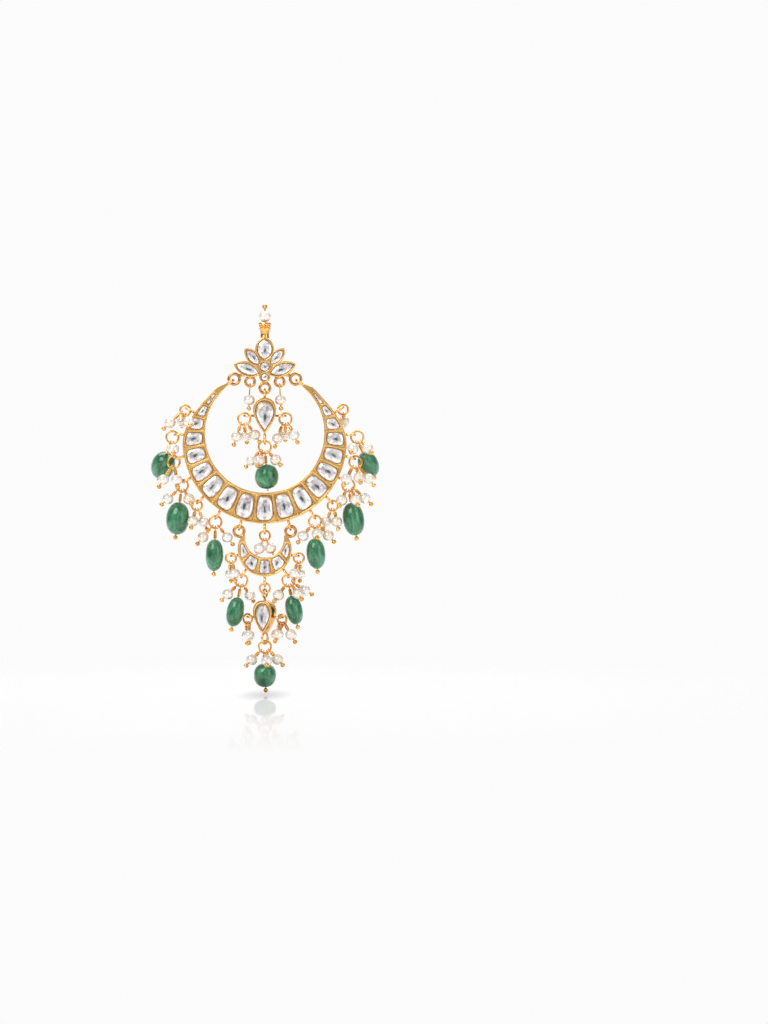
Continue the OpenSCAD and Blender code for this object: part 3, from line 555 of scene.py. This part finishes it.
def foil(name, frame_name, stones, turn=0.0):
    """The gold foil pressed between a frame's walls and its stones, with a burnished lip round each stone."""
    verts, faces = [], []
    spin = turned_about(turn)
    edges = front_edges(frame_name, turn)
    spokes = 64
    for stone_name in stones:
        ring, middle = girdle(stone_name, turn)
        outline = list(zip(ring, ring[1:] + ring[:1]))
        near = [e for e in edges if min((e[0] - middle).length, (e[1] - middle).length) < 9]
        start = len(verts)
        for k in range(spokes):
            a = 2 * math.pi * k / spokes
            way = Vector((math.cos(a), math.sin(a)))
            inner = hit(middle, way, outline)
            room = max(0.06, min(hit(middle, way, near) - inner, 1.5))
            crest = min(0.07, room * 0.45)
            valley = min(0.2, room * 0.75)
            for out, depth in ((-0.03, 0.34), (crest * 0.5, 0.23), (crest, 0.2), (valley, 0.3), (room + 0.03, 0.22)):
                q = middle + way * (inner + out)
                verts.append(spin @ (Vector((q.x, FRONT_Y + depth, q.y)) * MM))
        for k in range(spokes):
            a, b = start + k * 5, start + (k + 1) % spokes * 5
            faces += [[a + s, b + s, b + s + 1, a + s + 1] for s in range(4)]
    piece(name, BODY_OF[stones[0]], verts, faces, SHADED_FOIL_GOLD)


def dress(name, finish, bevel=0.0, join=0.001):
    """Gives a CAD node its material, smooth round faces and, on a frame, softened edges; sizes in mm."""
    obj = NODES[name]
    obj.data.materials.clear()
    obj.data.materials.append(finish)
    obj.data.polygons.foreach_set("use_smooth", [True] * len(obj.data.polygons))
    obj.data.set_sharp_from_angle(angle=SHARP)
    if bevel:
        obj.modifiers.new("joined", "WELD").merge_threshold = join * MM
        soft = obj.modifiers.new("soft_edges", "BEVEL")
        soft.width = bevel * MM
        soft.segments = 3
        soft.limit_method = "ANGLE"
        soft.angle_limit = math.radians(88)
        soft.use_clamp_overlap = False
        soft.loop_slide = False
        obj.modifiers.new("creases", "EDGE_SPLIT").split_angle = SHARP


def in_groups(*starts):
    return [n for n in sorted(NODES) if n.startswith(starts)]


LOTUS = in_groups("lotus_stone")
CRESCENT = in_groups("crescent_stone")
SMALL = in_groups("small_crescent_stone")
for number, name in enumerate(LOTUS + CRESCENT + SMALL + ["pendant_stone"]):
    stone(name, number)
stone("drop_stone", 77, DROP_TURN)
foil("lotus_foil", "stud_frame", LOTUS)
foil("crescent_foil", "crescent_frame", CRESCENT)
foil("small_crescent_foil", "small_crescent_frame", SMALL)
foil("pendant_foil", "pendant_frame", ["pendant_stone"])
foil("drop_foil", "drop_frame", ["drop_stone"], DROP_TURN)
for name in ("stud_pearls", "crescent_pearls", "pendant_pearls", "small_crescent_pearls", "drop_pearls"):
    pearls(name)
for number, name in enumerate(BEADS):
    bead(name, number + 1)
for name in ("stud_frame", "crescent_frame", "pendant_frame", "small_crescent_frame"):
    dress(name, FRAME_GOLD, bevel=FRAME_BEVEL)
dress("drop_frame", TURNED_GOLD, bevel=FRAME_BEVEL, join=0.05)
for name in ("stud_headpins", "crescent_headpins", "crescent_jump_rings"):
    dress(name, WIRE_GOLD)
for name in ("pendant_findings", "small_crescent_findings", "drop_findings"):
    dress(name, WIRE_GOLD)


# Studio

# The paleness that the floor and the backdrop show, and the strength of the sky's light
BACKDROP = (0.97, 0.97, 0.97)
SKY_STRENGTH = 0.42


def mixed_shader(tree, factor, first, second):
    """Two shaders' outputs, mixed by a factor's output."""
    made = node(tree, "ShaderNodeMixShader")
    for output, socket in zip((factor, first, second), made.inputs):
        tree.links.new(output, socket)
    return made.outputs[0]


def distance(tree, point):
    made = node(tree, "ShaderNodeVectorMath", operation="LENGTH")
    tree.links.new(point, made.inputs[0])
    return made.outputs["Value"]


def sweep():
    """A pale glossy floor that curves up into the backdrop, with a soft shade below the earring's tip."""
    made, tree, shader = material("studio_sweep")
    point = object_point(tree)
    paper = ramp(tree, mottle(tree, point, 9, 2.0), [(0.3, (0.93, 0.93, 0.93)), (0.7, (0.96, 0.96, 0.96))])
    # The shade is an ellipse below the tip: its scales are one over its half sizes
    wide, deep = 150, 45
    around = distance(tree, object_point(tree, scale=(wide, deep, 0), shift=(0, -deep * MID_Y * MM, 0)))
    dusk = spread(tree, around, 0.15, 1.0, 0.75, 0)
    tree.links.new(mixed(tree, dusk, paper, (0.25, 0.25, 0.26)), shader.inputs["Base Color"])
    shader.inputs["Roughness"].default_value = 0.05
    shader.inputs["IOR"].default_value = 1.013
    # The floor looks even and pale, and mirrors the earring's foot, while it is lit and mirrored as paper
    even = node(tree, "ShaderNodeEmission")
    tree.links.new(mixed(tree, dusk, BACKDROP, (0.45, 0.45, 0.46)), even.inputs["Color"])
    mirror = node(tree, "ShaderNodeBsdfGlossy")
    mirror.inputs["Roughness"].default_value = 0.05
    glance = node(tree, "ShaderNodeFresnel")
    glance.inputs["IOR"].default_value = 1.035
    gleam = calc(tree, "MULTIPLY", glance.outputs[0], spread(tree, distance(tree, point), 0.1, 0.18, 1, 0))
    seen = node(tree, "ShaderNodeLightPath").outputs["Is Camera Ray"]
    polished = mixed_shader(tree, gleam, even.outputs[0], mirror.outputs[0])
    floor = mixed_shader(tree, seen, shader.outputs[0], polished)
    tree.links.new(floor, tree.nodes["Material Output"].inputs["Surface"])
    floor_z = CAD_BOX[0].z - 0.0006
    # The floor's front edge, where it starts to curve up, the curve's radius, the top and the half width
    near, far, bend, top, half = -1.6, 0.5, 0.5, 2.4, 2.5
    curve = [math.pi / 2 * k / 16 for k in range(1, 17)]
    profile = [(near, 0.0), (far, 0.0)]
    profile += [(far + bend * math.sin(a), bend * (1 - math.cos(a))) for a in curve]
    profile += [(far + bend, top)]
    verts = [(x, y, floor_z + z) for y, z in profile for x in (-half, half)]
    faces = [[2 * k, 2 * k + 1, 2 * k + 3, 2 * k + 2] for k in range(len(profile) - 1)]
    mesh = bpy.data.meshes.new("studio_sweep")
    mesh.from_pydata(verts, [], faces)
    mesh.polygons.foreach_set("use_smooth", [True] * len(faces))
    mesh.materials.append(made)
    obj = bpy.data.objects.new("studio_sweep", mesh)
    scene.collection.objects.link(obj)


def softbox(name, place, aim, size, power):
    light = bpy.data.lights.new(name, "AREA")
    light.shape = "RECTANGLE"
    light.size, light.size_y = size
    light.energy = power
    obj = bpy.data.objects.new(name, light)
    scene.collection.objects.link(obj)
    obj.location = place
    obj.rotation_euler = (Vector(aim) - Vector(place)).to_track_quat("-Z", "Y").to_euler()


sweep()
CENTRE = (0.0, 0.0, -0.035)
softbox("key_light", (-0.35, -0.55, 0.45), CENTRE, (0.45, 0.45), 2.6)
softbox("fill_light", (0.55, -0.5, 0.1), CENTRE, (0.35, 0.6), 1.0)
softbox("back_light", (0.0, 0.3, 0.9), (0.0, 0.6, -0.1), (1.4, 0.6), 10)

world = bpy.data.worlds.new("studio")
world.use_nodes = True
scene.world = world
sky = world.node_tree
up = node(sky, "ShaderNodeTexCoord")
split = node(sky, "ShaderNodeSeparateXYZ")
sky.links.new(up.outputs["Generated"], split.inputs[0])
height = spread(sky, split.outputs["Z"], -1, 1, 0, 1)
shade = ramp(
    sky,
    height,
    [(0.0, (0.55, 0.53, 0.5)), (0.46, (0.3, 0.29, 0.28)), (0.56, (0.75, 0.75, 0.76)), (1.0, (1.0, 1.0, 1.0))],
)
shade = mixed(sky, spread(sky, split.outputs["Y"], -0.9, -0.5, 0.85, 0), shade, (1.35, 1.32, 1.27))
# The backdrop stays pale all round, and the darker sky only lights and is mirrored
seen = node(sky, "ShaderNodeLightPath").outputs["Is Camera Ray"]
shade = mixed(sky, seen, shade, [part / SKY_STRENGTH for part in BACKDROP])
background = sky.nodes["Background"]
sky.links.new(shade, background.inputs["Color"])
background.inputs["Strength"].default_value = SKY_STRENGTH

camera = bpy.data.objects.new("camera", bpy.data.cameras.new("camera"))
scene.collection.objects.link(camera)
camera.data.lens = 100
camera.data.sensor_width = 36
camera.data.clip_start = 0.01
camera.location = (0.0283, -0.677, -0.0345)
camera.rotation_euler = (math.pi / 2, 0, 0)
scene.camera = camera
scene.view_settings.view_transform = "Standard"
